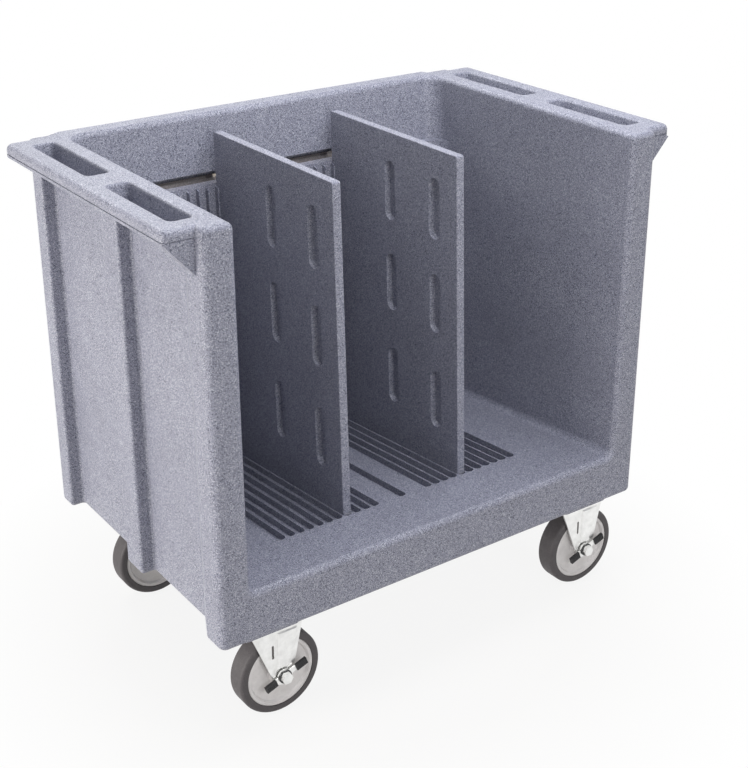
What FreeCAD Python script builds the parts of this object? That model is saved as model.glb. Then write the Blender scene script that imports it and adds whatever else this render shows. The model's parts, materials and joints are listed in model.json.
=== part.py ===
import FreeCAD, Part
import math
import os

V = FreeCAD.Vector
X_AXIS = V(1, 0, 0)
Y_AXIS = V(0, 1, 0)
Z_AXIS = V(0, 0, 1)

# A plate dispenser cart: a one-piece moulded tub on four swivel casters, open at the front and
# the top, with two lift-out dividers. Millimetres. The origin is on the floor under the middle
# of the cart, +X to the right, +Y to the back wall and +Z up. The open front faces -Y.

# --- tub, overall ---------------------------------------------------------------------------
TUB_DEPTH = 590.0            # front face to back face
TUB_WIDTH = 870.0            # across the side walls, at the underside
TUB_HEIGHT = 688.0           # underside to the top of the rim
RIM_SPAN = 970.0             # across the two carrying rims
OUTER_DRAFT = 0.002          # the side walls lean out by this much per unit of height
TUB_CORNER = 13.0            # upright outer corners
UNDER_EDGE = 10.0            # rounding of the bottom edge
TOP_EDGE = 10.0              # rounding of the rim and of the opening's front edge

# --- side walls: post, panel, rib, panel, column from back to front --------------------------
COLUMN_LENGTH = 46.0
POST_LENGTH = 44.0
RIB_START = 268.0            # from the front face
RIB_LENGTH = 50.0
PANEL_RECESS = 24.0
PANEL_SLANT = 50.0           # length of the slanted step behind the column and the rib
RIB_EDGE = 5.0               # rounding of a rib's proud corners
PANEL_EDGE = 4.0             # rounding of a panel's inner corners

# --- back face: three shallow panels ----------------------------------------------------------
BACK_PANELS = 3
BACK_PANEL_GAP = 60.0
BACK_PANEL_MARGIN = 70.0     # from the side walls, the rim and the bottom edge
BACK_PANEL_RECESS = 12.0

# --- carrying rims -----------------------------------------------------------------------------
RIM_THICKNESS = 22.0
RIM_SETBACK = 18.0           # the rim's front end, behind the front face
RIM_END = 568.0              # the rim's back end, from the front face
RIM_CORNER = 12.0
RIM_LIP_EDGE = 2.5           # rounding under the rim's outer edge
RIM_UNDER_SLOPE = 25.0       # degrees, underside of the overhang
RIM_ROOT = 26.0              # the underside runs this far inside the side wall's face
GUSSET_SLOPE = 48.0          # degrees, underside of the gusset between the rim and the column
PARTING_GROOVE = 1.6         # width and depth of the line round the rim's outer face
PARTING_HEIGHT = 5.0         # above the rim's underside
SHELF_DROP = 6.0             # the rim steps down behind its end
SHELF_INNER = 375.0

# --- pockets in the rims -------------------------------------------------------------------------
POCKET_WIDTH = 38.0
POCKET_FROM_INNER = 33.0     # flat rim between the opening and a pocket
POCKET_DEPTH = 28.0
POCKET_TAPER = 4.0           # a pocket's floor is smaller than its mouth by this much all round
POCKET_SPANS = ((57.0, 258.0), (320.0, 528.0))   # from the front face
POCKET_CORNER = 9.0
POCKET_LIP = 5.0             # rounding of a pocket's mouth

# --- inside of the tub -----------------------------------------------------------------------------
OPENING_WIDTH = 760.0        # between the side walls at the floor's front edge
INNER_DRAFT = 0.004
INNER_CORNER = 30.0
UPPER_BACK = 536.0           # upper back wall, from the front face, just above the channel
UPPER_BACK_DRAFT = 0.09
FLOOR_FRONT = 89.0           # floor surface above the underside, at the front face
FLOOR_FALL = 0.091           # the floor falls towards the back by this much per unit of depth
FLOOR_EDGE = 14.0            # rounding between the floor and the walls

# --- places for the dividers ----------------------------------------------------------------------
SLOT_PITCH = 19.0
SLOT_CLEARANCE = 0.3         # each side of a divider
SLOT_DEPTH = 12.0
SLOT_FRONT = 122.0           # the slots' front tips, from the front face
SLOT_GROUP = (3, 13)         # slots 3 to 13 on each side of the middle one
LEFT_SLOT = -6
RIGHT_SLOT = 7

# --- back wall below the channel --------------------------------------------------------------------
LOWER_BACK = 521.0           # its face at the ledge, from the front face
LOWER_BACK_RAKE = 0.0363     # it leans back by this much per unit of height
BACK_RIB = 11.0              # how far the ribs between the slots stand forward
BACK_RIB_TOP = 562.0         # above the underside
BACK_RIB_SLOPE = 3.0         # height of a rib's sloping top
LEDGE = 566.0                # above the underside
CHANNEL_HEIGHT = 18.0
CHANNEL_DEPTH = 16.0         # behind the upper back wall
CHANNEL_HALF = 300.0

# --- retaining bar, an angle lying in the channel -----------------------------------------------------
BAR_HEIGHT = 11.5
BAR_THICKNESS = 2.5
BAR_SETBACK = 4.0            # behind the upper back wall
BAR_END_GAP = 0.3

# --- dividers ----------------------------------------------------------------------------------------
DIVIDER_THICKNESS = 16.0
DIVIDER_TOP = 660.0          # above the underside
DIVIDER_SETBACK = 6.0        # its foot behind the slots' front tips
DIVIDER_GAP = 0.5            # between its back edge and the back wall
DIVIDER_SEAT = 0.3           # above the bottom of its slot
DIVIDER_EDGE = 1.5
DIVIDER_CORNER = 5.0
RECESS_WIDTH = 30.0
RECESS_LENGTH = 108.0
RECESS_DEPTH = 9.0
RECESS_TAPER = 3.5
RECESS_COLUMNS = (62.0, 190.0)              # behind the front edge
RECESS_ROWS = (199.0, 382.0, 554.0)         # middle of a row, above the underside

# --- casters -------------------------------------------------------------------------------------------
CASTER_INSET_X = 100.0       # king pin from the side wall's foot
CASTER_INSET_Y = 77.0        # king pin from the front and the back face
CASTER_TRAIL = 38.0          # axle behind the king pin
PAD_HEIGHT = 8.0             # moulded pad over each caster
PAD_MARGIN = 6.0
PLATE_X = 102.0
PLATE_Y = 114.0
PLATE_THICKNESS = 4.0
PLATE_CORNER = 10.0
BOLT_SPACING_X = 76.0
BOLT_SPACING_Y = 88.0
BOLT_RADIUS = 4.0
BOLT_LENGTH = 18.0           # above the plate
BOLT_HEAD_FLATS = 13.0
BOLT_HEAD = 5.3
INSERT_RADIUS = 6.5
INSERT_LENGTH = 22.0

RACE_RADIUS = 38.0
RACE_THICKNESS = 5.0
BALL_RADIUS = 3.2
BALL_CIRCLE = 30.0
BALL_COUNT = 16
BALL_GAP = 0.3
SWIVEL_GAP = 2.0             # between the two races
LOWER_RACE = 3.0
CUP_RADIUS = 43.5
CUP_WALL = 3.0
CUP_HEIGHT = 8.5             # above the fork's top sheet
KINGPIN_RADIUS = 6.0
KINGPIN_HEAD_RADIUS = 10.0
KINGPIN_HEAD = 3.0
KINGPIN_RIVET = 5.0
RUNNING_CLEARANCE = 0.05
SEAT_GAP = 0.3               # between faces that turn past each other

WHEEL_RADIUS = 76.0
CROWN_GAP = 24.5             # between the tread and the fork's top sheet
TREAD_WIDTH = 38.0
TREAD_SHOULDER = 6.0
TYRE_THICKNESS = 13.5
CORE_WIDTH = 36.0
CORE_WEB = 27.0
CORE_RING = 3.0              # raised ring at the core's rim
HUB_RADIUS = 21.0
HUB_WIDTH = 41.0
BEARING_RADIUS = 14.5
BEARING_FLANGE = 18.0
BEARING_FLANGE_THICKNESS = 1.2
SLEEVE_RADIUS = 9.5
AXLE_RADIUS = 6.0
AXLE_HEAD_FLATS = 18.0
AXLE_HEAD = 7.0
AXLE_NUT = 8.0

FORK_SHEET = 3.5
FORK_INSIDE = 45.0           # between the legs
FORK_FOOT = 19.0             # radius of a leg's round foot
FORK_BACK = -24.0            # end of the top sheet, from the king pin
FORK_FRONT = 80.0
FORK_CHEEK = (73.0, 33.0)    # corner of a leg: from the king pin, below the top sheet
FORK_BEND = 5.0
FORK_PRESS = 2.4             # flat panel pressed out of a leg's outer face
FORK_PRESS_BACK = 29.0       # from the king pin
FORK_PRESS_FRONT = 66.0
FORK_PRESS_FOOT = 14.0       # above the axle
FORK_PRESS_TOP = 20.0        # below the top sheet
FORK_SLOT = (20.0, 50.0)     # from the king pin, above the axle
FORK_SLOT_LENGTH = 22.0
FORK_SLOT_WIDTH = 4.0

# --- brake on each front caster --------------------------------------------------------------------------
LEVER_THICKNESS = 3.0
LEVER_HUB = 13.0
LEVER_ARM_WIDTH = 9.0
LEVER_REACH = (44.0, 38.0)   # front arm, back arm
LEVER_TILT = 20.0            # degrees, front arm up when released
PAD_LENGTH = 22.0
PAD_WIDTH = 12.0
PAD_DEPTH = 7.0
PAD_END = 1.0                # rubber past the end of the lever's arm
PAD_EDGE = 2.5
PAD_GROOVES = 5
PAD_GROOVE = 1.4             # width and depth of a groove
CAM_RADIUS = 12.0
CAM_THICKNESS = 3.0

# --- worked out from the sizes above -----------------------------------------------------------------------
FRONT = -TUB_DEPTH / 2
BACK = TUB_DEPTH / 2
TUB_HALF = TUB_WIDTH / 2
RIM_HALF = RIM_SPAN / 2
CORE_RADIUS = WHEEL_RADIUS - TYRE_THICKNESS
SHEET_UNDERSIDE = 2 * WHEEL_RADIUS + CROWN_GAP
SHEET_TOP = SHEET_UNDERSIDE + FORK_SHEET
LOWER_RACE_TOP = SHEET_TOP + LOWER_RACE
BALL_LEVEL = LOWER_RACE_TOP + SWIVEL_GAP / 2
RACE_UNDERSIDE = LOWER_RACE_TOP + SWIVEL_GAP
PLATE_UNDERSIDE = RACE_UNDERSIDE + RACE_THICKNESS
PAD_UNDERSIDE = PLATE_UNDERSIDE + PLATE_THICKNESS
TUB_BASE = PAD_UNDERSIDE + PAD_HEIGHT
RIM_HEIGHT = TUB_BASE + TUB_HEIGHT
CASTER_X = TUB_HALF - CASTER_INSET_X
CASTER_Y = BACK - CASTER_INSET_Y
SLOT_WIDTH = DIVIDER_THICKNESS + 2 * SLOT_CLEARANCE
SLOT_SIDE = range(SLOT_GROUP[0], SLOT_GROUP[1] + 1)
SLOT_NUMBERS = [-n for n in SLOT_SIDE] + [0] + list(SLOT_SIDE)
LEG_OUTSIDE = FORK_INSIDE / 2 + FORK_SHEET
LEVER_INNER = LEG_OUTSIDE + FORK_PRESS + SEAT_GAP     # lever's inner face, from the wheel's middle
LEVER_OUTER = LEVER_INNER + LEVER_THICKNESS
FAR = 2000.0                 # longer than anything that it cuts


def tub_half_width(z):
    """Half the tub's width over its side walls at the height z."""
    return TUB_HALF + OUTER_DRAFT * (z - TUB_BASE)


def opening_half_width(z):
    """Half the clear width inside the tub at the height z."""
    return OPENING_WIDTH / 2 + INNER_DRAFT * (z - TUB_BASE - FLOOR_FRONT)


def floor_height(y):
    """Height of the tub's floor surface at y."""
    return TUB_BASE + FLOOR_FRONT - FLOOR_FALL * (y - FRONT)


def rounded_wire(corners, z):
    """A closed outline at the height z from corners given as (x, y, radius); 0 is sharp."""
    points = [V(x, y, z) for x, y, radius in corners]
    ends = []
    for i, (x, y, radius) in enumerate(corners):
        here = points[i]
        to_last = (points[i - 1] - here).normalize()
        to_next = (points[(i + 1) % len(points)] - here).normalize()
        half = to_last.getAngle(to_next) / 2
        reach = radius / math.tan(half)
        bisector = (to_last + to_next).normalize()
        middle = here + bisector * (radius / math.sin(half) - radius)
        ends.append((here + to_last * reach, middle, here + to_next * reach))
    edges = []
    for i, (start, middle, end) in enumerate(ends):
        if corners[i][2] > 0:
            edges.append(Part.Arc(start, middle, end).toShape())
        edges.append(Part.LineSegment(end, ends[(i + 1) % len(ends)][0]).toShape())
    return Part.Wire(edges)


def rectangle(x0, x1, y0, y1, radius):
    """Corners of a rounded rectangle for rounded_wire."""
    return [(x0, y0, radius), (x1, y0, radius), (x1, y1, radius), (x0, y1, radius)]


def ruled(lower, upper):
    """A solid between two outlines with the same corners."""
    return Part.makeLoft([lower, upper], True, True)


def prism(corners, z0, z1):
    """An upright prism over a rounded outline."""
    return Part.Face(rounded_wire(corners, z0)).extrude(V(0, 0, z1 - z0))


def block(x0, x1, y0, y1, z0, z1):
    return Part.makeBox(x1 - x0, y1 - y0, z1 - z0, V(x0, y0, z0))


def upright(radius, z0, z1, x=0.0, y=0.0):
    """A cylinder along Z."""
    return Part.makeCylinder(radius, z1 - z0, V(x, y, z0), Z_AXIS)


def across(radius, y0, y1, x=0.0, z=0.0):
    """A cylinder along Y."""
    return Part.makeCylinder(radius, y1 - y0, V(x, y0, z), Y_AXIS)


def side_prism(outline, x0, x1):
    """Extrudes a polygon of (y, z) points along X."""
    points = [V(x0, y, z) for y, z in outline]
    wire = Part.makePolygon(points + points[:1])
    return Part.Face(wire).extrude(V(x1 - x0, 0, 0))


def mirrored(shape):
    """The same shape on the other side of the cart."""
    return shape.mirror(V(0, 0, 0), X_AXIS)


def hexagon(flats, height, base, axis):
    """A hexagonal prism with the given width across flats, standing on base along axis."""
    turn = FreeCAD.Rotation(Z_AXIS, axis)
    corner = flats / math.sqrt(3)
    points = []
    for i in range(6):
        angle = math.radians(60 * i)
        points.append(base + turn.multVec(V(corner * math.cos(angle), corner * math.sin(angle), 0)))
    return Part.Face(Part.makePolygon(points + points[:1])).extrude(axis * height)


def hollow(x0, x1, y0, y1, radius, taper, depth):
    """A tapered pocket with its mouth on z = 0 and its floor at z = depth."""
    mouth = rounded_wire(rectangle(x0, x1, y0, y1, radius), 0.0)
    inner = rectangle(x0 + taper, x1 - taper, y0 + taper, y1 - taper, max(radius - taper, 2.0))
    floor = rounded_wire(inner, depth)
    if depth < 0:
        return ruled(floor, mouth)
    return ruled(mouth, floor)


def to_side(shape):
    """Turns a shape drawn with (x, y, z) so that they become (Y, Z, X)."""
    return shape.rotated(V(0, 0, 0), V(1, 1, 1), 120.0)


def edges_at_height(shape, z):
    """The edges that lie in the plane at the height z."""
    level = []
    for edge in shape.Edges:
        if abs(edge.BoundBox.ZMin - z) < 1e-3 and abs(edge.BoundBox.ZMax - z) < 1e-3:
            level.append(edge)
    return level


# ------------------------------------------------------------------------------------------- tub
def tub_outline(z):
    """The tub's outer outline at the height z, with the ribs and panels of the side walls."""
    half = tub_half_width(z)
    inner = half - PANEL_RECESS
    column = FRONT + COLUMN_LENGTH
    rib = FRONT + RIB_START
    rib_end = rib + RIB_LENGTH
    post = BACK - POST_LENGTH
    side = [
        (half, FRONT, TUB_CORNER),
        (half, column, RIB_EDGE),
        (inner, column + PANEL_SLANT, PANEL_EDGE),
        (inner, rib, PANEL_EDGE),
        (half, rib, RIB_EDGE),
        (half, rib_end, RIB_EDGE),
        (inner, rib_end + PANEL_SLANT, PANEL_EDGE),
        (inner, post, PANEL_EDGE),
        (half, post, RIB_EDGE),
        (half, BACK, TUB_CORNER),
    ]
    return side + [(-x, y, radius) for x, y, radius in reversed(side)]


def tub_block():
    """The tub before it is hollowed, with its bottom edge rounded."""
    solid = ruled(
        rounded_wire(tub_outline(TUB_BASE), TUB_BASE),
        rounded_wire(tub_outline(RIM_HEIGHT), RIM_HEIGHT),
    )
    bottom = [e for e in solid.Edges if e.BoundBox.ZMax < TUB_BASE + 1e-3]
    return solid.makeFillet(UNDER_EDGE, bottom)


def rim_outline(inset):
    """The right-hand rim in plan, drawn in by an inset at its ends and its outer side."""
    inner = opening_half_width(RIM_HEIGHT) - POCKET_FROM_INNER
    start = FRONT + RIM_SETBACK + inset
    end = FRONT + RIM_END - inset
    outer = RIM_HALF - inset
    return [
        (inner, start, 0),
        (outer, start, RIM_CORNER - inset),
        (outer, end, RIM_CORNER - inset),
        (inner, end, 0),
    ]


def parting_line():
    """The thin groove that the mould's parting leaves round the rim's outer face."""
    low = RIM_HEIGHT - RIM_THICKNESS + PARTING_HEIGHT
    high = low + PARTING_GROOVE
    around = prism(rim_outline(-1.0), low, high)
    return around.cut(prism(rim_outline(PARTING_GROOVE), low - 1.0, high + 1.0))


def rim_gusset():
    """The steeper piece under the rim's front end that joins it to the column."""
    under = RIM_HEIGHT - RIM_THICKNESS
    inner = opening_half_width(RIM_HEIGHT) - POCKET_FROM_INNER
    outer = RIM_HALF - RIM_LIP_EDGE - 1.0
    root = tub_half_width(under) - RIM_ROOT
    drop = (outer - root) * math.tan(math.radians(GUSSET_SLOPE))
    points = [
        V(inner, 0, under + 1.0),
        V(outer, 0, under + 1.0),
        V(outer, 0, under),
        V(root, 0, under - drop),
        V(inner, 0, under - drop),
    ]
    face = Part.Face(Part.makePolygon(points + points[:1]))
    gusset = face.translated(V(0, FRONT + RIM_SETBACK, 0))
    return gusset.extrude(V(0, COLUMN_LENGTH - RIM_SETBACK, 0))


def carrying_rim():
    """The right-hand rim: a flat top with a sloping underside that runs into the side wall."""
    under = RIM_HEIGHT - RIM_THICKNESS
    root = tub_half_width(under) - RIM_ROOT
    drop = (RIM_HALF - root) * math.tan(math.radians(RIM_UNDER_SLOPE))
    inner = opening_half_width(RIM_HEIGHT) - POCKET_FROM_INNER
    start = FRONT + RIM_SETBACK
    end = FRONT + RIM_END
    root_end = end - (RIM_HALF - root)
    small = 1.0
    low = [
        (inner, start, 0),
        (root, start, small),
        (root, root_end, small),
        (inner, root_end, 0),
    ]
    web = ruled(rounded_wire(low, under - drop), rounded_wire(rim_outline(0.0), under))
    rim = web.fuse(prism(rim_outline(0.0), under, RIM_HEIGHT)).removeSplitter()
    lip = [e for e in edges_at_height(rim, under) if e.BoundBox.XMax > RIM_HALF - RIM_CORNER / 2]
    return rim.makeFillet(RIM_LIP_EDGE, lip).cut(parting_line()).fuse(rim_gusset())


def upper_back(z):
    """The back wall's face above the channel."""
    return FRONT + UPPER_BACK + UPPER_BACK_DRAFT * (z - TUB_BASE - LEDGE)


def lower_back(z):
    """The back wall's face below the ledge."""
    return FRONT + LOWER_BACK + LOWER_BACK_RAKE * (z - TUB_BASE - LEDGE)


def hollow_outline(z, back):
    """The outline of the space inside the tub, open at the front."""
    half = opening_half_width(z)
    ahead = FRONT - 50.0
    corners = [
        (-half, ahead, 0),
        (half, ahead, 0),
        (half, back, INNER_CORNER),
        (-half, back, INNER_CORNER),
    ]
    return rounded_wire(corners, z)


def inside_of_tub():
    """The space that is hollowed out: drafted walls over a floor that falls to the back."""
    ledge_z = TUB_BASE + LEDGE
    top_z = RIM_HEIGHT + 50.0
    ahead = FRONT - 50.0
    lower = ruled(
        hollow_outline(TUB_BASE, lower_back(TUB_BASE)),
        hollow_outline(ledge_z, lower_back(ledge_z)),
    )
    above_floor = side_prism(
        [
            (ahead, floor_height(ahead)),
            (BACK, floor_height(BACK)),
            (BACK, top_z),
            (ahead, top_z),
        ],
        -FAR / 2,
        FAR / 2,
    )
    lower = lower.common(above_floor)
    floor_edges = []
    for edge in lower.Edges:
        on_floor = all(abs(v.Z - floor_height(v.Y)) < 1e-3 for v in edge.Vertexes)
        if on_floor and edge.BoundBox.YMax > ahead + 1.0:
            floor_edges.append(edge)
    lower = lower.makeFillet(FLOOR_EDGE, floor_edges)
    upper = ruled(
        hollow_outline(ledge_z, upper_back(ledge_z)),
        hollow_outline(top_z, upper_back(top_z)),
    )
    return lower.fuse(upper).removeSplitter()


def channel():
    """The channel above the ledge, across the back wall."""
    z0 = TUB_BASE + LEDGE
    back = upper_back(z0) + CHANNEL_DEPTH
    return block(-CHANNEL_HALF, CHANNEL_HALF, lower_back(z0), back, z0, z0 + CHANNEL_HEIGHT)


def divider_slot(number):
    """One slot along the floor, with a rounded front tip, ending at the back wall's face."""
    x = number * SLOT_PITCH
    tip = FRONT + SLOT_FRONT
    open_z = TUB_BASE + FLOOR_FRONT + FLOOR_EDGE
    heel = lower_back(floor_height(BACK) - SLOT_DEPTH)
    outline = [
        (tip, floor_height(tip) - SLOT_DEPTH),
        (heel, floor_height(heel) - SLOT_DEPTH),
        (lower_back(open_z), open_z),
        (tip, open_z),
    ]
    slot = side_prism(outline, x - SLOT_WIDTH / 2, x + SLOT_WIDTH / 2)
    tip_radius = SLOT_WIDTH / 2 - 0.3
    plan = [
        (x - SLOT_WIDTH / 2, tip, tip_radius),
        (x + SLOT_WIDTH / 2, tip, tip_radius),
        (x + SLOT_WIDTH / 2, BACK, 0),
        (x - SLOT_WIDTH / 2, BACK, 0),
    ]
    return slot.common(prism(plan, TUB_BASE, RIM_HEIGHT))


def rib_places():
    """The middle of each rib: one on either side of every slot."""
    places = {number + side for number in SLOT_NUMBERS for side in (-0.5, 0.5)}
    return sorted(place * SLOT_PITCH for place in places)


def back_rib(x):
    """A rib up the back wall beside a slot, with a sloping top."""
    low = floor_height(BACK) - SLOT_DEPTH
    high = TUB_BASE + BACK_RIB_TOP
    shoulder = high - BACK_RIB_SLOPE
    outline = [
        (lower_back(low) - BACK_RIB, low),
        (lower_back(low) + BACK_RIB, low),
        (lower_back(high) + BACK_RIB, high),
        (lower_back(high), high),
        (lower_back(shoulder) - BACK_RIB, shoulder),
    ]
    half = (SLOT_PITCH - SLOT_WIDTH) / 2
    return side_prism(outline, x - half, x + half)


def rim_pocket(start, end):
    """A pocket in the top of the right-hand rim."""
    x0 = opening_half_width(RIM_HEIGHT) + POCKET_FROM_INNER
    x1 = x0 + POCKET_WIDTH
    y0 = FRONT + start
    y1 = FRONT + end
    pocket = hollow(x0, x1, y0, y1, POCKET_CORNER, POCKET_TAPER, -POCKET_DEPTH)
    return pocket.translated(V(0, 0, RIM_HEIGHT))


def back_panel(number):
    """A shallow panel in the tub's back face."""
    clear = TUB_WIDTH - 2 * BACK_PANEL_MARGIN
    width = (clear - (BACK_PANELS - 1) * BACK_PANEL_GAP) / BACK_PANELS
    x0 = -clear / 2 + number * (width + BACK_PANEL_GAP)
    low = TUB_BASE + BACK_PANEL_MARGIN
    high = RIM_HEIGHT - BACK_PANEL_MARGIN
    panel = hollow(x0, x0 + width, -high, -low, 20.0, BACK_PANEL_RECESS / 2, -BACK_PANEL_RECESS)
    return panel.rotated(V(0, 0, 0), X_AXIS, -90.0).translated(V(0, BACK, 0))


def pocket_mouth_edges(shape):
    """The edges around the mouths of the pockets in both rims."""
    x0 = opening_half_width(RIM_HEIGHT) + POCKET_FROM_INNER
    found = []
    for edge in edges_at_height(shape, RIM_HEIGHT):
        box = edge.BoundBox
        nearest = min(abs(box.XMin), abs(box.XMax))
        farthest = max(abs(box.XMin), abs(box.XMax))
        if nearest > x0 - 0.1 and farthest < x0 + POCKET_WIDTH + 0.1:
            found.append(edge)
    return found


def shelf_cut():
    """Lowers the back wall's top behind the right-hand rim, with a sloping step."""
    top = RIM_HEIGHT
    x0 = SHELF_INNER
    points = [
        V(x0, 0, top + 1.0),
        V(x0 + 25.0, 0, top - SHELF_DROP),
        V(RIM_HALF + 1.0, 0, top - SHELF_DROP),
        V(RIM_HALF + 1.0, 0, top + 1.0),
    ]
    face = Part.Face(Part.makePolygon(points + points[:1]))
    return face.translated(V(0, FRONT + RIM_END, 0)).extrude(V(0, TUB_DEPTH, 0))


def caster_places():
    """Name and king pin position of each caster, with whether it has a brake."""
    return [
        ("front_left", -CASTER_X, -CASTER_Y, True),
        ("front_right", CASTER_X, -CASTER_Y, True),
        ("rear_left", -CASTER_X, CASTER_Y, False),
        ("rear_right", CASTER_X, CASTER_Y, False),
    ]


def bolt_places():
    """(x, y) of each bolt that holds a caster."""
    places = []
    for name, x, y, braked in caster_places():
        for side_x in (-1, 1):
            for side_y in (-1, 1):
                places.append((x + side_x * BOLT_SPACING_X / 2, y + side_y * BOLT_SPACING_Y / 2))
    return places


def caster_pad(x, y):
    """A raised pad on the tub's underside."""
    half_x = PLATE_X / 2 + PAD_MARGIN
    half_y = PLATE_Y / 2 + PAD_MARGIN
    corners = rectangle(x - half_x, x + half_x, y - half_y, y + half_y, PLATE_CORNER + PAD_MARGIN)
    return prism(corners, PAD_UNDERSIDE, TUB_BASE + UNDER_EDGE)


def front_opening_edges(shape):
    """The edges of the opening in the front face."""
    found = []
    for edge in shape.Edges:
        box = edge.BoundBox
        on_front = abs(box.YMin - FRONT) < 1e-3 and abs(box.YMax - FRONT) < 1e-3
        within = max(abs(box.XMin), abs(box.XMax)) < opening_half_width(RIM_HEIGHT) + 0.01
        if on_front and within and box.ZMin > TUB_BASE + FLOOR_FRONT / 2 and edge.Length > 1.0:
            found.append(edge)
    return found


def make_tub():
    """The moulded tub with its rims, slots, channel, pockets and caster pads."""
    tub = tub_block()
    tub = tub.fuse([carrying_rim(), mirrored(carrying_rim())]).removeSplitter()
    tub = tub.cut(inside_of_tub()).removeSplitter()
    tub = tub.makeFillet(TOP_EDGE, edges_at_height(tub, RIM_HEIGHT) + front_opening_edges(tub))
    pockets = [rim_pocket(start, end) for start, end in POCKET_SPANS]
    tub = tub.cut(pockets + [mirrored(p) for p in pockets])
    tub = tub.makeFillet(POCKET_LIP, pocket_mouth_edges(tub))
    cuts = [back_panel(n) for n in range(BACK_PANELS)]
    cuts += [shelf_cut(), mirrored(shelf_cut()), channel()]
    cuts += [divider_slot(n) for n in SLOT_NUMBERS]
    additions = [caster_pad(x, y) for name, x, y, braked in caster_places()]
    additions += [back_rib(x) for x in rib_places()]
    tub = tub.fuse(additions)
    hole_top = PAD_UNDERSIDE + INSERT_LENGTH
    cuts += [upright(INSERT_RADIUS + RUNNING_CLEARANCE, PAD_UNDERSIDE - 1.0, hole_top, x, y)
             for x, y in bolt_places()]
    return tub.cut(cuts).removeSplitter()


# ------------------------------------------------------------------------- retaining bar, dividers
def make_bar():
    """An angle lying on the channel's bottom, its upright leg just behind the wall's face."""
    z0 = TUB_BASE + LEDGE
    front = upper_back(z0) + BAR_SETBACK
    back = upper_back(z0) + CHANNEL_DEPTH - BAR_END_GAP
    half = CHANNEL_HALF - BAR_END_GAP
    leg = block(-half, half, front, front + BAR_THICKNESS, z0, z0 + BAR_HEIGHT)
    foot = block(-half, half, front, back, z0, z0 + BAR_THICKNESS)
    return leg.fuse(foot).removeSplitter()


def make_divider(number):
    """A divider standing in a slot, with shallow recesses on its left face."""
    foot = FRONT + SLOT_FRONT + DIVIDER_SETBACK
    top = TUB_BASE + DIVIDER_TOP

    def slot_bottom(y):
        return floor_height(y) - SLOT_DEPTH + DIVIDER_SEAT

    def front(z):
        return foot + LOWER_BACK_RAKE * (z - slot_bottom(foot))

    def back(z):
        return lower_back(z) - DIVIDER_GAP

    heel = back(floor_height(BACK) - SLOT_DEPTH)
    half = DIVIDER_THICKNESS / 2
    corners = [
        (foot, slot_bottom(foot), DIVIDER_CORNER),
        (heel, slot_bottom(heel), DIVIDER_CORNER),
        (back(top), top, DIVIDER_CORNER),
        (front(top), top, DIVIDER_CORNER),
    ]
    panel = prism(corners, -half, half)
    faces = [e for e in panel.Edges if e.BoundBox.ZMax - e.BoundBox.ZMin < 1e-3]
    panel = panel.makeFillet(DIVIDER_EDGE, faces)
    recesses = []
    lean = math.degrees(math.atan(LOWER_BACK_RAKE))
    for column in RECESS_COLUMNS:
        for row in RECESS_ROWS:
            recess = hollow(
                -RECESS_WIDTH / 2,
                RECESS_WIDTH / 2,
                -RECESS_LENGTH / 2,
                RECESS_LENGTH / 2,
                RECESS_WIDTH / 2 - 1.0,
                RECESS_TAPER,
                RECESS_DEPTH,
            )
            z = TUB_BASE + row
            recess = recess.rotated(V(0, 0, 0), Z_AXIS, -lean)
            recesses.append(recess.translated(V(front(z) + column, z, -half)))
    panel = to_side(panel.cut(recesses))
    return panel.translated(V(number * SLOT_PITCH, 0, 0))


# ----------------------------------------------------------------------------------- caster, swivel
# A caster is drawn with its king pin on the Z axis and its axle behind it along +X.
def ball_groove():
    return Part.makeTorus(BALL_CIRCLE, BALL_RADIUS + BALL_GAP, V(0, 0, BALL_LEVEL))


def make_top_plate():
    """The bolted plate with the upper race under it."""
    plate = prism(
        rectangle(-PLATE_X / 2, PLATE_X / 2, -PLATE_Y / 2, PLATE_Y / 2, PLATE_CORNER),
        PLATE_UNDERSIDE,
        PAD_UNDERSIDE,
    )
    race = upright(RACE_RADIUS, RACE_UNDERSIDE, PLATE_UNDERSIDE)
    race = race.makeFillet(1.5, edges_at_height(race, RACE_UNDERSIDE))
    plate = plate.fuse(race)
    hole = upright(KINGPIN_RADIUS + RUNNING_CLEARANCE, RACE_UNDERSIDE - 1, PAD_UNDERSIDE + 1)
    sink = upright(KINGPIN_HEAD_RADIUS + SEAT_GAP, PAD_UNDERSIDE - KINGPIN_HEAD, PAD_UNDERSIDE + 1)
    cuts = [hole, sink, ball_groove()]
    for side_x in (-1, 1):
        for side_y in (-1, 1):
            x = side_x * BOLT_SPACING_X / 2
            y = side_y * BOLT_SPACING_Y / 2
            cuts.append(upright(BOLT_RADIUS + 0.6, PLATE_UNDERSIDE - 1, PAD_UNDERSIDE + 1, x, y))
    return plate.cut(cuts)


def make_kingpin():
    """The pin through plate and fork, riveted over under the fork."""
    rivet_top = SHEET_UNDERSIDE - SEAT_GAP
    shaft = upright(KINGPIN_RADIUS, rivet_top - KINGPIN_RIVET, PAD_UNDERSIDE - KINGPIN_HEAD)
    head = upright(KINGPIN_HEAD_RADIUS, PAD_UNDERSIDE - KINGPIN_HEAD, PAD_UNDERSIDE)
    rivet = upright(KINGPIN_HEAD_RADIUS, rivet_top - KINGPIN_RIVET, rivet_top)
    rivet = rivet.makeFillet(KINGPIN_RIVET * 0.6, edges_at_height(rivet, rivet_top - KINGPIN_RIVET))
    return shaft.fuse([head, rivet]).removeSplitter()


def make_balls():
    balls = []
    for i in range(BALL_COUNT):
        angle = 2 * math.pi * i / BALL_COUNT
        place = V(BALL_CIRCLE * math.cos(angle), BALL_CIRCLE * math.sin(angle), BALL_LEVEL)
        balls.append(Part.makeSphere(BALL_RADIUS, place))
    return Part.makeCompound(balls)


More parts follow.
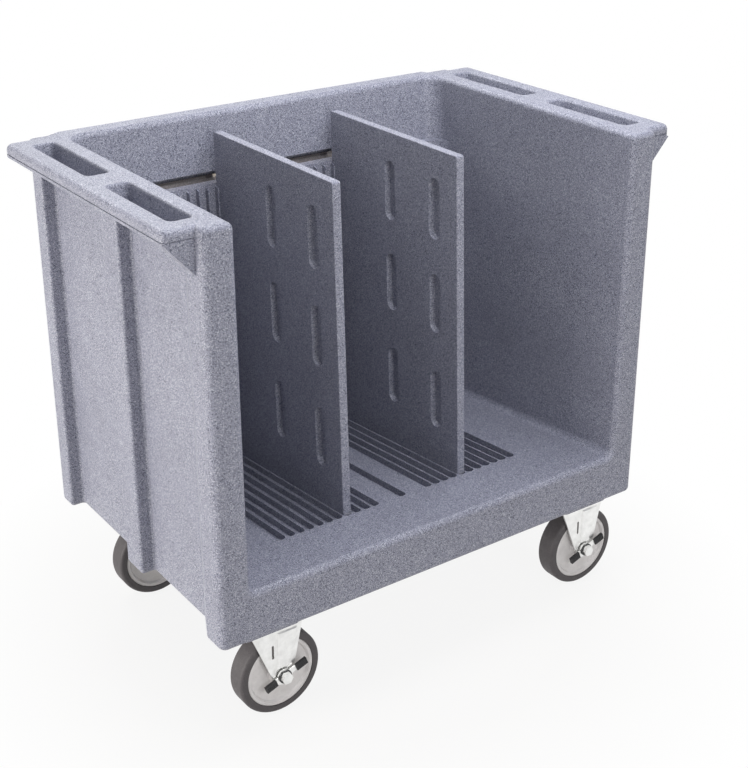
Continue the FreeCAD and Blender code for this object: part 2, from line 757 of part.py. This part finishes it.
def tangent_point(x, z, radius, side):
    """Where a line from (x, z) touches the fork's foot circle; side is 1 or -1."""
    dx = x - CASTER_TRAIL
    dz = z - WHEEL_RADIUS
    distance = math.hypot(dx, dz)
    angle = math.atan2(dz, dx) + side * math.acos(radius / distance)
    return (CASTER_TRAIL + radius * math.cos(angle), WHEEL_RADIUS + radius * math.sin(angle))


def leg_face(y, points):
    """A flat face at y from (x, z) points."""
    wire = Part.makePolygon([V(x, y, z) for x, z in points] + [V(points[0][0], y, points[0][1])])
    return Part.Face(wire)


def fork_leg():
    """The fork's leg on the -Y side: a tapering sheet with a round foot and a pressed panel."""
    inner = -FORK_INSIDE / 2
    cheek = (FORK_CHEEK[0], SHEET_TOP - FORK_CHEEK[1])
    outline = [
        (FORK_BACK, SHEET_TOP),
        (FORK_FRONT, SHEET_TOP),
        cheek,
        tangent_point(cheek[0], cheek[1], FORK_FOOT, -1),
        tangent_point(FORK_BACK, SHEET_TOP, FORK_FOOT, 1),
    ]
    leg = leg_face(inner, outline).extrude(V(0, -FORK_SHEET, 0))
    leg = leg.fuse(across(FORK_FOOT, inner - FORK_SHEET, inner, CASTER_TRAIL, WHEEL_RADIUS))
    panel = [
        (FORK_PRESS_BACK, SHEET_TOP - FORK_PRESS_TOP),
        (FORK_PRESS_FRONT, SHEET_TOP - FORK_PRESS_TOP),
        (FORK_PRESS_FRONT - 2.0, SHEET_TOP - FORK_CHEEK[1] - 6.0),
        (CASTER_TRAIL + 10.0, WHEEL_RADIUS + FORK_PRESS_FOOT),
        (FORK_PRESS_BACK, WHEEL_RADIUS + FORK_PRESS_FOOT),
    ]
    press = leg_face(inner - FORK_SHEET, panel).extrude(V(0, -FORK_PRESS, 0))
    edges = [e for e in press.Edges if e.BoundBox.YMax < inner - FORK_SHEET - FORK_PRESS / 2]
    leg = leg.fuse(press.makeChamfer(FORK_PRESS * 0.8, edges)).removeSplitter()
    slot_x = FORK_SLOT[0]
    slot_z = WHEEL_RADIUS + FORK_SLOT[1]
    half = FORK_SLOT_WIDTH / 2
    y0 = inner - FORK_SHEET - FORK_PRESS - 1.0
    y1 = inner + 1.0
    bottom_z = slot_z - FORK_SLOT_LENGTH / 2
    top_z = slot_z + FORK_SLOT_LENGTH / 2
    slot = block(slot_x - half, slot_x + half, y0, y1, bottom_z, top_z)
    ends = [across(half, y0, y1, slot_x, z) for z in (bottom_z, top_z)]
    return leg.cut([slot] + ends)


def make_fork():
    """The bent fork with the cup and the lower race on its top sheet."""
    leg = fork_leg()
    sheet = block(FORK_BACK, FORK_FRONT, -LEG_OUTSIDE, LEG_OUTSIDE, SHEET_UNDERSIDE, SHEET_TOP)
    fork = sheet.fuse([leg, leg.mirror(V(0, 0, 0), Y_AXIS)]).removeSplitter()
    bends = []
    for edge in fork.Edges:
        box = edge.BoundBox
        level = box.ZMax - box.ZMin < 1e-3 and abs(box.ZMax - SHEET_TOP) < 1e-3
        outer = box.YMax - box.YMin < 1e-3 and abs(abs(box.YMax) - LEG_OUTSIDE) < 1e-3
        if level and outer:
            bends.append(edge)
    fork = fork.makeFillet(FORK_BEND, bends)
    cup = upright(CUP_RADIUS, SHEET_TOP - FORK_SHEET, SHEET_TOP + CUP_HEIGHT)
    cup = cup.makeFillet(CUP_WALL / 3, edges_at_height(cup, SHEET_TOP + CUP_HEIGHT))
    well = upright(CUP_RADIUS - CUP_WALL, LOWER_RACE_TOP, SHEET_TOP + CUP_HEIGHT + 1)
    hole = upright(KINGPIN_RADIUS + RUNNING_CLEARANCE, SHEET_UNDERSIDE - 1, SHEET_TOP + CUP_HEIGHT)
    axle_hole = across(
        AXLE_RADIUS + RUNNING_CLEARANCE, -FORK_INSIDE, FORK_INSIDE, CASTER_TRAIL, WHEEL_RADIUS
    )
    return fork.fuse(cup).cut([well, ball_groove(), hole, axle_hole]).removeSplitter()


# ------------------------------------------------------------------------------------ caster, wheel
def on_axle(shape):
    """Moves a shape drawn around the Y axis to the caster's axle."""
    return shape.translated(V(CASTER_TRAIL, 0, WHEEL_RADIUS))


def turned(profile):
    """A solid of revolution about the Y axis from (radius, y) points."""
    points = [V(radius, y, 0) for radius, y in profile]
    return Part.Face(Part.makePolygon(points + points[:1])).revolve(V(0, 0, 0), Y_AXIS, 360.0)


def make_axle(braked):
    """The axle bolt: its head on the -Y side, past the lever where there is a brake."""
    head_y = -(LEVER_OUTER + CAM_THICKNESS if braked else LEG_OUTSIDE)
    end_y = LEG_OUTSIDE + AXLE_NUT + 2.0
    shaft = across(AXLE_RADIUS, head_y, end_y)
    head = hexagon(AXLE_HEAD_FLATS, AXLE_HEAD, V(0, head_y, 0), V(0, -1, 0))
    return on_axle(shaft.fuse(head).removeSplitter())


def make_axle_nut():
    nut = hexagon(AXLE_HEAD_FLATS, AXLE_NUT, V(0, LEG_OUTSIDE, 0), Y_AXIS)
    bore = across(AXLE_RADIUS + RUNNING_CLEARANCE, LEG_OUTSIDE - 1, LEG_OUTSIDE + AXLE_NUT + 1)
    return on_axle(nut.cut(bore))


def make_sleeve():
    """The tube between the fork's legs that the wheel turns on."""
    half = FORK_INSIDE / 2
    tube = across(SLEEVE_RADIUS, -half, half)
    return on_axle(tube.cut(across(AXLE_RADIUS + RUNNING_CLEARANCE, -half - 1, half + 1)))


def make_bushings():
    """Two flanged bushings, pushed into the hub from its ends."""
    half = HUB_WIDTH / 2
    bore = SLEEVE_RADIUS + RUNNING_CLEARANCE
    profile = [
        (bore, 1.0),
        (BEARING_RADIUS, 1.0),
        (BEARING_RADIUS, half),
        (BEARING_FLANGE, half),
        (BEARING_FLANGE, half + BEARING_FLANGE_THICKNESS),
        (bore, half + BEARING_FLANGE_THICKNESS),
    ]
    bushing = turned(profile)
    return on_axle(Part.makeCompound([bushing, bushing.mirror(V(0, 0, 0), Y_AXIS)]))


def make_wheel_core():
    """The moulded core: hub, dished web and a raised ring at the rim."""
    ring = CORE_WIDTH / 2
    web = CORE_WEB / 2
    hub = HUB_WIDTH / 2
    bore = BEARING_RADIUS + RUNNING_CLEARANCE
    half_profile = [
        (bore, hub),
        (HUB_RADIUS - 2.0, hub),
        (HUB_RADIUS, web + 2.0),
        (HUB_RADIUS + 2.0, web),
        (CORE_RADIUS - 3 * CORE_RING, web),
        (CORE_RADIUS - 2 * CORE_RING, ring),
        (CORE_RADIUS - 1.0, ring),
        (CORE_RADIUS, ring - 1.0),
    ]
    profile = half_profile + [(radius, -y) for radius, y in reversed(half_profile)]
    return on_axle(turned(profile))


def make_tyre():
    """The tyre with rounded shoulders, moulded on the core."""
    half = TREAD_WIDTH / 2
    bore = CORE_RADIUS + RUNNING_CLEARANCE
    tyre = across(WHEEL_RADIUS, -half, half)
    tyre = tyre.makeFillet(TREAD_SHOULDER, [e for e in tyre.Edges if len(e.Vertexes) == 1])
    return on_axle(tyre.cut(across(bore, -half - 1, half + 1)))


# ------------------------------------------------------------------------------------ caster, brake
def lever_arm(length, y0, y1):
    half = LEVER_ARM_WIDTH / 2
    return block(0, length, y0, y1, -half, half)


def brake_pad(length, y0, y1):
    """A grooved rubber pad that wraps the end of a lever arm."""
    end = length + PAD_END
    pad = block(end - PAD_LENGTH, end, y0, y1, -PAD_WIDTH / 2, PAD_WIDTH / 2)
    outer = [e for e in pad.Edges if e.BoundBox.YMin < y0 + 1e-3 and e.BoundBox.YMax < y1 - 1e-3]
    pad = pad.makeFillet(PAD_EDGE, outer)
    step = PAD_LENGTH / (PAD_GROOVES + 1)
    half = PAD_GROOVE / 2
    cuts = [lever_arm(length, -LEVER_OUTER, -LEVER_INNER)]
    for i in range(PAD_GROOVES):
        x = end - (i + 1) * step
        cuts.append(block(x - half, x + half, y0 - 1.0, y0 + PAD_GROOVE, -PAD_WIDTH, PAD_WIDTH))
    return pad.cut(cuts)


def tilted(shape, back=False):
    """Turns a lever part from +X to its released angle on the axle."""
    angle = -LEVER_TILT + (180.0 if back else 0.0)
    return on_axle(shape.rotated(V(0, 0, 0), Y_AXIS, angle))


def make_lever():
    """The steel rocker lever on the axle."""
    parts = [across(LEVER_HUB, -LEVER_OUTER, -LEVER_INNER)]
    parts += [lever_arm(LEVER_REACH[0], -LEVER_OUTER, -LEVER_INNER)]
    parts += [lever_arm(LEVER_REACH[1], -LEVER_OUTER, -LEVER_INNER).rotated(V(0, 0, 0), Y_AXIS, 180.0)]
    bore = across(AXLE_RADIUS + RUNNING_CLEARANCE, -FAR, FAR)
    lever = parts[0].fuse(parts[1:]).cut(bore).removeSplitter()
    return tilted(lever)


def make_brake_pads():
    y0 = -LEVER_OUTER - PAD_DEPTH + LEVER_THICKNESS
    front = tilted(brake_pad(LEVER_REACH[0], y0, -LEVER_INNER))
    back = tilted(brake_pad(LEVER_REACH[1], y0, -LEVER_INNER), True)
    return Part.makeCompound([front, back])


def make_cam():
    """The half-round cam against the lever's outer face."""
    y0 = -LEVER_OUTER - CAM_THICKNESS + SEAT_GAP
    cam = across(CAM_RADIUS, y0, -LEVER_OUTER)
    cam = cam.cut(block(-FAR, FAR, y0 - 1, 1 - LEVER_OUTER, AXLE_RADIUS + 1.5, FAR))
    return tilted(cam.cut(across(AXLE_RADIUS + RUNNING_CLEARANCE, y0 - 1, 1 - LEVER_OUTER)))


# -------------------------------------------------------------------------------------- fasteners
def make_inserts():
    """Threaded inserts moulded into the pads."""
    inserts = []
    for x, y in bolt_places():
        top = PAD_UNDERSIDE + INSERT_LENGTH
        tube = upright(INSERT_RADIUS, PAD_UNDERSIDE, top, x, y)
        bore = upright(BOLT_RADIUS + RUNNING_CLEARANCE, PAD_UNDERSIDE - 1, top + 1, x, y)
        inserts.append(tube.cut(bore))
    return Part.makeCompound(inserts)


def make_bolts():
    """The bolts that hold the casters, heads down."""
    bolts = []
    for x, y in bolt_places():
        shaft = upright(BOLT_RADIUS, PLATE_UNDERSIDE, PLATE_UNDERSIDE + BOLT_LENGTH, x, y)
        head = hexagon(BOLT_HEAD_FLATS, BOLT_HEAD, V(x, y, PLATE_UNDERSIDE), V(0, 0, -1))
        bolts.append(shaft.fuse(head).removeSplitter())
    return Part.makeCompound(bolts)


# ------------------------------------------------------------------------------------------ export
def write_node(name, shape):
    if not shape.isValid():
        raise ValueError("shape is not valid: " + name)
    shape.exportStep("parts/" + name + ".step")


def main():
    os.makedirs("parts", exist_ok=True)
    write_node("cart_body", make_tub())
    write_node("retaining_bar", make_bar())
    write_node("caster_inserts", make_inserts())
    write_node("caster_bolts", make_bolts())
    write_node("divider_left", make_divider(LEFT_SLOT))
    write_node("divider_right", make_divider(RIGHT_SLOT))
    caster = {
        "top_plate": make_top_plate(),
        "kingpin": make_kingpin(),
        "race_balls": make_balls(),
        "fork": make_fork(),
        "axle_nut": make_axle_nut(),
        "axle_sleeve": make_sleeve(),
        "bushings": make_bushings(),
        "wheel_core": make_wheel_core(),
        "tyre": make_tyre(),
    }
    brake = {
        "brake_lever": make_lever(),
        "brake_pads": make_brake_pads(),
        "brake_cam": make_cam(),
    }
    for name, x, y, braked in caster_places():
        pieces = dict(caster)
        pieces["axle"] = make_axle(braked)
        if braked:
            pieces.update(brake)
        for piece, shape in pieces.items():
            write_node(name + "_" + piece, shape.translated(V(x, y, 0)))


main()
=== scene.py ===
import json
import math

import bpy
from mathutils import Matrix, Vector

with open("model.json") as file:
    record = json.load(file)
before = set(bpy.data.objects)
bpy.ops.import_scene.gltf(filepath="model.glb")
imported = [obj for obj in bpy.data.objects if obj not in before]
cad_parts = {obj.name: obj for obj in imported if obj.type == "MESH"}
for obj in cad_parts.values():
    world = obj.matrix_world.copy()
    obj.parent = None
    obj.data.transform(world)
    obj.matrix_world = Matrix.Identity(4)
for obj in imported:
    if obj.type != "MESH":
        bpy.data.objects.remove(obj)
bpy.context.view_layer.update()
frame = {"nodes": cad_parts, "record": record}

# A plate dispenser cart: speckled moulded tub, two dividers, four swivel casters.
# Lengths are in metres and colours are linear red, green and blue, unless a comment says otherwise.

# --- camera, at the photograph's angle -------------------------------------------------------
IMAGE_HEIGHT = 768.0                   # pixels, the frame's long side
FOCAL = 1432.9                         # pixels
SENSOR = 36.0                          # millimetres, along the frame's long side
CAMERA_PLACE = (-1.3049, -1.9234, 1.5227)
CAMERA_YAW = 35.378                    # degrees from +Y towards +X
CAMERA_PITCH = 22.167                  # degrees below the horizon
CAMERA_ROLL = -0.129                   # degrees
CAMERA_SHIFT = -0.1                    # share of the frame's long side
CLIP_NEAR = 0.05
CLIP_FAR = 50.0

# --- plastic of the tub and the dividers -----------------------------------------------------
SLATE = (0.222, 0.228, 0.288)
SLATE_DARK = (0.062, 0.068, 0.105)     # dark flecks
SLATE_LIGHT = (0.56, 0.57, 0.64)       # light flecks and scuffs
DARK_FLECK = 0.0015                    # size of a fleck
LIGHT_FLECK = DARK_FLECK * 0.55

# --- how the textures are read ---------------------------------------------------------------
NOISE_LOW = 0.3                        # most of a noise lies between these two
NOISE_HIGH = 0.7
FINE_GRAIN = 0.0009                    # size of the finest texture on most surfaces

# --- studio ----------------------------------------------------------------------------------
WHITE = (1.0, 1.0, 1.0)
WARM = (1.0, 0.97, 0.93)
COOL = (0.96, 0.975, 1.03)
PLAIN_WHITE = 1.0                      # strength at which a glow renders as white
WORLD_LIGHT = 0.47                     # strength of the light from all round
FLOOR_COLOUR = (0.57, 0.55, 0.52)
FLOOR_ROUGHNESS = 0.9
FLOOR_SIZE = 14.0
SHADOW_GLOW = 0.88                     # how much of the floor near the cart is plain white
SHADOW_NEAR = 0.45                     # the floor turns plain white between these distances
SHADOW_FAR = 0.80

# --- sockets of a Mix node that mixes colours ------------------------------------------------
MIX_FACTOR = 0
MIX_FIRST = 6
MIX_SECOND = 7
MIX_RESULT = 2


def shade(colour, brightness):
    """A colour made darker or lighter."""
    return tuple(channel * brightness for channel in colour)


class NodeGraph:
    """The node tree of a material or of the world."""

    def __init__(self, owner):
        owner.use_nodes = True
        self.nodes = owner.node_tree.nodes
        self.links = owner.node_tree.links

    def math(self, operation, first, second):
        """What a Math node makes of two sockets."""
        node = self.nodes.new("ShaderNodeMath")
        node.operation = operation
        self.links.new(first, node.inputs[0])
        self.links.new(second, node.inputs[1])
        return node.outputs["Value"]

    def rescaled(self, value, low, high, start=0.0, end=1.0):
        """A value from start to end, mapped to low and high."""
        node = self.nodes.new("ShaderNodeMapRange")
        settings = {"From Min": start, "From Max": end, "To Min": low, "To Max": high}
        for name, number in settings.items():
            node.inputs[name].default_value = number
        self.links.new(value, node.inputs["Value"])
        return node.outputs["Result"]

    def sees_white(self):
        """1 for camera, glossy and transmission rays, which see a plain white studio, else 0."""
        rays = self.nodes.new("ShaderNodeLightPath").outputs
        seen = rays["Is Camera Ray"]
        for kind in ("Is Glossy Ray", "Is Transmission Ray"):
            seen = self.math("MAXIMUM", seen, rays[kind])
        return seen


class Surface(NodeGraph):
    """A Principled material under construction, textured in object coordinates."""

    def __init__(self, name, colour, metallic=0.0):
        self.material = bpy.data.materials.new(name)
        super().__init__(self.material)
        self.material.diffuse_color = (*colour, 1.0)
        self.shader = self.nodes["Principled BSDF"]
        self.shader.inputs["Base Color"].default_value = (*colour, 1.0)
        self.shader.inputs["Metallic"].default_value = metallic
        self.place = self.nodes.new("ShaderNodeTexCoord").outputs["Object"]

    def stretched(self, scale):
        """Object coordinates stretched by a scale per axis."""
        mapping = self.nodes.new("ShaderNodeMapping")
        mapping.inputs["Scale"].default_value = scale
        self.links.new(self.place, mapping.inputs["Vector"])
        return mapping.outputs["Vector"]

    def noise(self, size, detail=2.0, roughness=0.5, place=None):
        """Noise with features of about the given size."""
        noise = self.nodes.new("ShaderNodeTexNoise")
        noise.inputs["Scale"].default_value = 1.0 / size
        noise.inputs["Detail"].default_value = detail
        noise.inputs["Roughness"].default_value = roughness
        self.links.new(place or self.place, noise.inputs["Vector"])
        return noise.outputs["Fac"]

    def cells(self, size):
        """A random value per cell of about the given size."""
        voronoi = self.nodes.new("ShaderNodeTexVoronoi")
        voronoi.inputs["Scale"].default_value = 1.0 / size
        self.links.new(self.place, voronoi.inputs["Vector"])
        split = self.nodes.new("ShaderNodeSeparateColor")
        self.links.new(voronoi.outputs["Color"], split.inputs["Color"])
        return split.outputs["Red"]

    def ramp(self, value, stops, interpolation="LINEAR"):
        """A value read off (position, grey or colour) stops."""
        node = self.nodes.new("ShaderNodeValToRGB")
        node.color_ramp.interpolation = interpolation
        elements = node.color_ramp.elements
        while len(elements) > 1:
            elements.remove(elements[-1])
        for i, (position, colour) in enumerate(stops):
            element = elements[0] if i == 0 else elements.new(position)
            element.position = position
            if isinstance(colour, float):
                colour = (colour, colour, colour)
            element.color = (*colour, 1.0)
        self.links.new(value, node.inputs["Fac"])
        return node.outputs["Color"]

    def mottled(self, noise, low, high):
        """From one colour to another as the noise rises."""
        return self.ramp(noise, [(NOISE_LOW, low), (NOISE_HIGH, high)])

    def covered(self, ground, cover, share):
        """The ground's colour with a cover colour over it, as much as share says."""
        mix = self.nodes.new("ShaderNodeMix")
        mix.data_type = "RGBA"
        self.links.new(share, mix.inputs[MIX_FACTOR])
        self.links.new(ground, mix.inputs[MIX_FIRST])
        mix.inputs[MIX_SECOND].default_value = (*cover, 1.0)
        return mix.outputs[MIX_RESULT]

    def patched(self, ground, cover, noise, start, end, most):
        """The ground with patches of cover: none where the noise is under start, most past end."""
        return self.covered(ground, cover, self.ramp(noise, [(start, 0.0), (end, most)]))

    def colour(self, socket):
        """Sets the colour of the surface."""
        self.links.new(socket, self.shader.inputs["Base Color"])

    def roughness(self, noise, low, high):
        """Sets the roughness, from low to high as the noise rises."""
        self.links.new(self.rescaled(noise, low, high), self.shader.inputs["Roughness"])

    def bump(self, noise, height, strength):
        """Adds bumps of the given height."""
        bump = self.nodes.new("ShaderNodeBump")
        bump.inputs["Distance"].default_value = height
        bump.inputs["Strength"].default_value = strength
        self.links.new(noise, bump.inputs["Height"])
        normal = self.shader.inputs["Normal"]
        if normal.is_linked:
            self.links.new(normal.links[0].from_socket, bump.inputs["Normal"])
        self.links.new(bump.outputs["Normal"], normal)


def speckled_plastic():
    """Moulded polyethylene with dark and light flecks and a fine orange-peel texture."""
    s = Surface("moulded_body", SLATE)
    s.shader.inputs["Specular IOR Level"].default_value = 0.35
    # In steps, so that a cell has one shade: about a seventh are strong flecks, a seventh weak ones.
    dark_share = s.ramp(s.cells(DARK_FLECK), [(0.0, 0.9), (0.14, 0.5), (0.28, 0.0)], "CONSTANT")
    light_share = s.ramp(s.cells(LIGHT_FLECK), [(0.0, 0.0), (0.74, 0.45), (0.88, 0.95)], "CONSTANT")
    scuffs = s.noise(size=0.02, detail=6.0, roughness=0.75)
    colour = s.mottled(s.noise(size=0.05, detail=3.0), shade(SLATE, 0.94), shade(SLATE, 1.06))
    colour = s.covered(colour, SLATE_DARK, dark_share)
    colour = s.covered(colour, SLATE_LIGHT, light_share)
    colour = s.patched(colour, SLATE_LIGHT, scuffs, start=0.60, end=0.75, most=0.12)
    s.colour(colour)
    s.roughness(s.noise(size=0.03, detail=4.0), 0.36, 0.56)
    s.bump(s.noise(size=0.004), height=0.0002, strength=0.4)
    s.bump(s.noise(FINE_GRAIN, detail=1.0), height=0.00006, strength=0.5)
    return s.material


def zinc_steel():
    """Bright zinc plate with faint blotches and a fine grain."""
    s = Surface("zinc_steel", (0.86, 0.86, 0.85), metallic=1.0)
    s.colour(s.mottled(s.noise(size=0.012, detail=4.0), (0.78, 0.78, 0.77), (0.92, 0.92, 0.91)))
    s.roughness(s.noise(size=0.004, detail=3.0), 0.22, 0.42)
    s.bump(s.noise(FINE_GRAIN), height=0.00003, strength=0.5)
    return s.material


def polished_steel():
    """Bright steel, a little uneven in its polish."""
    s = Surface("bright_steel", (0.90, 0.90, 0.91), metallic=1.0)
    s.roughness(s.noise(size=0.003, detail=3.0), 0.10, 0.24)
    return s.material


def brushed_bar():
    """Stainless strip, brushed along its length, slightly tarnished."""
    s = Surface("stainless_bar", (0.46, 0.41, 0.35), metallic=1.0)
    along_the_bar = s.stretched((0.02, 1.0, 1.0))
    grain = s.noise(size=0.0006, detail=3.0, place=along_the_bar)
    s.colour(s.mottled(grain, (0.38, 0.34, 0.28), (0.54, 0.49, 0.43)))
    s.roughness(grain, 0.12, 0.22)
    s.bump(grain, height=0.00002, strength=0.6)
    return s.material


def tyre_rubber():
    """Grey non-marking rubber with dust and fine scuffs."""
    s = Surface("tyre", (0.064, 0.058, 0.061))
    dust = s.noise(size=0.01, detail=6.0, roughness=0.7)
    ground = s.mottled(s.noise(size=0.0015, detail=3.0), (0.054, 0.048, 0.051), (0.078, 0.070, 0.074))
    s.colour(s.patched(ground, (0.15, 0.14, 0.143), dust, start=0.50, end=0.80, most=0.30))
    s.roughness(s.noise(size=0.006, detail=4.0), 0.45, 0.72)
    s.bump(s.noise(size=0.0012, detail=3.0), height=0.00008, strength=0.6)
    return s.material


def core_plastic():
    """Light warm grey moulded plastic of the wheel cores, with a little grime."""
    s = Surface("wheel_core", (0.71, 0.69, 0.69))
    cloud = s.noise(size=0.02, detail=4.0)
    grime = s.noise(size=0.004, detail=5.0, roughness=0.7)
    ground = s.mottled(cloud, (0.65, 0.63, 0.63), (0.77, 0.75, 0.75))
    s.colour(s.patched(ground, (0.42, 0.41, 0.39), grime, start=0.55, end=0.8, most=0.3))
    s.roughness(cloud, 0.32, 0.5)
    s.bump(s.noise(size=0.002), height=0.00006, strength=0.5)
    return s.material


def matt_finish(name, colour, roughness, spread=0.08):
    """Plastic, rubber or dull steel with slight variation and texture."""
    s = Surface(name, colour)
    cloud = s.noise(size=0.004, detail=4.0)
    s.colour(s.mottled(cloud, shade(colour, 0.85), shade(colour, 1.15)))
    s.roughness(cloud, roughness - spread, roughness + spread)
    s.bump(s.noise(FINE_GRAIN), height=0.00005, strength=0.6)
    return s.material


def make_materials():
    """One material for each of the record's slots."""
    return {
        "moulded_body": speckled_plastic(),
        "stainless_bar": brushed_bar(),
        "insert_steel": matt_finish("insert_steel", (0.35, 0.33, 0.28), roughness=0.5),
        "zinc_steel": zinc_steel(),
        "bright_steel": polished_steel(),
        "bushing_plastic": matt_finish("bushing_plastic", (0.62, 0.60, 0.54), roughness=0.4),
        "wheel_core": core_plastic(),
        "tyre": tyre_rubber(),
        "brake_rubber": matt_finish("brake_rubber", (0.022, 0.022, 0.024), roughness=0.6),
        "dark_plastic": matt_finish("dark_plastic", (0.03, 0.03, 0.032), roughness=0.45),
    }


def dress_nodes(materials):
    """Gives every CAD node the material of its slot."""
    slots = {part["node"]: part["material_slot"] for part in frame["record"]["subparts"]}
    for name, obj in frame["nodes"].items():
        obj.data.materials.clear()
        obj.data.materials.append(materials[slots[name]])


def make_camera():
    """The photograph's camera, from its place, its angles and its focal length."""
    yaw, pitch, roll = (math.radians(angle) for angle in (CAMERA_YAW, CAMERA_PITCH, CAMERA_ROLL))
    ahead = Vector((
        math.sin(yaw) * math.cos(pitch),
        math.cos(yaw) * math.cos(pitch),
        -math.sin(pitch),
    ))
    right = Vector((math.cos(yaw), -math.sin(yaw), 0.0))
    up = right.cross(ahead)
    camera_x = math.cos(roll) * right + math.sin(roll) * up
    camera_y = -math.sin(roll) * right + math.cos(roll) * up
    data = bpy.data.cameras.new("camera")
    data.sensor_width = SENSOR
    data.lens = FOCAL * SENSOR / IMAGE_HEIGHT
    data.shift_y = CAMERA_SHIFT
    data.clip_start = CLIP_NEAR
    data.clip_end = CLIP_FAR
    camera = bpy.data.objects.new("camera", data)
    turn = Matrix((camera_x, camera_y, -ahead)).transposed().to_4x4()
    camera.matrix_world = Matrix.Translation(CAMERA_PLACE) @ turn
    bpy.context.scene.collection.objects.link(camera)
    bpy.context.scene.camera = camera


def area_light(name, place, target, size, watts, colour=WHITE):
    """A soft rectangular lamp that faces the target."""
    data = bpy.data.lights.new(name, "AREA")
    data.shape = "RECTANGLE"
    data.size, data.size_y = size
    data.energy = watts
    data.color = colour
    lamp = bpy.data.objects.new(name, data)
    lamp.location = place
    lamp.rotation_euler = (Vector(target) - Vector(place)).to_track_quat("-Z", "Y").to_euler()
    bpy.context.scene.collection.objects.link(lamp)


def make_lights():
    """A low lamp that the left wall keeps out of the tub, and lamps over, before and behind it."""
    area_light(
        "left_softbox",
        place=(-3.0, 0.25, 0.5),
        target=(-0.4, 0.05, 0.5),
        size=(2.0, 0.9),
        watts=71.0,
        colour=WARM,
    )
    area_light(
        "top_softbox",
        place=(0.25, -0.3, 2.0),
        target=(0.1, 0.25, 0.6),
        size=(1.2, 0.8),
        watts=19.0,
        colour=COOL,
    )
    area_light(
        "front_softbox",
        place=(-0.25, -2.6, 1.35),
        target=(0.0, 0.2, 0.6),
        size=(1.4, 0.7),
        watts=18.0,
    )
    area_light(
        "back_softbox",
        place=(0.0, 2.6, 2.9),
        target=(0.0, 0.0, 0.7),
        size=(2.4, 1.2),
        watts=53.0,
    )


def make_world():
    """Plain soft light all round that the camera and reflections see as white."""
    world = bpy.data.worlds.new("studio")
    graph = NodeGraph(world)
    background = graph.nodes["Background"]
    background.inputs["Color"].default_value = (*WHITE, 1.0)
    strength = graph.rescaled(graph.sees_white(), WORLD_LIGHT, PLAIN_WHITE)
    graph.links.new(strength, background.inputs["Strength"])
    bpy.context.scene.world = world


def floor_material():
    """A pale matt floor that turns into plain white around the cart's shadow."""
    material = bpy.data.materials.new("floor")
    graph = NodeGraph(material)
    matt = graph.nodes["Principled BSDF"]
    matt.inputs["Base Color"].default_value = (*FLOOR_COLOUR, 1.0)
    matt.inputs["Roughness"].default_value = FLOOR_ROUGHNESS
    white = graph.nodes.new("ShaderNodeEmission")
    white.inputs["Strength"].default_value = PLAIN_WHITE
    place = graph.nodes.new("ShaderNodeTexCoord").outputs["Object"]
    distance = graph.nodes.new("ShaderNodeVectorMath")
    distance.operation = "LENGTH"
    graph.links.new(place, distance.inputs[0])
    whiteness = graph.rescaled(
        distance.outputs["Value"],
        low=SHADOW_GLOW,
        high=1.0,
        start=SHADOW_NEAR,
        end=SHADOW_FAR,
    )
    blend = graph.nodes.new("ShaderNodeMixShader")
    share, first, second = blend.inputs
    graph.links.new(graph.math("MULTIPLY", graph.sees_white(), whiteness), share)
    graph.links.new(matt.outputs["BSDF"], first)
    graph.links.new(white.outputs["Emission"], second)
    graph.links.new(blend.outputs["Shader"], graph.nodes["Material Output"].inputs["Surface"])
    return material


def make_floor():
    """The floor that the cart stands on."""
    bpy.ops.mesh.primitive_plane_add(size=FLOOR_SIZE, location=(0.0, 0.0, 0.0))
    floor = bpy.context.object
    floor.name = "floor"
    floor.data.materials.append(floor_material())


bpy.context.scene.view_settings.view_transform = "Standard"
dress_nodes(make_materials())
make_camera()
make_lights()
make_world()
make_floor()
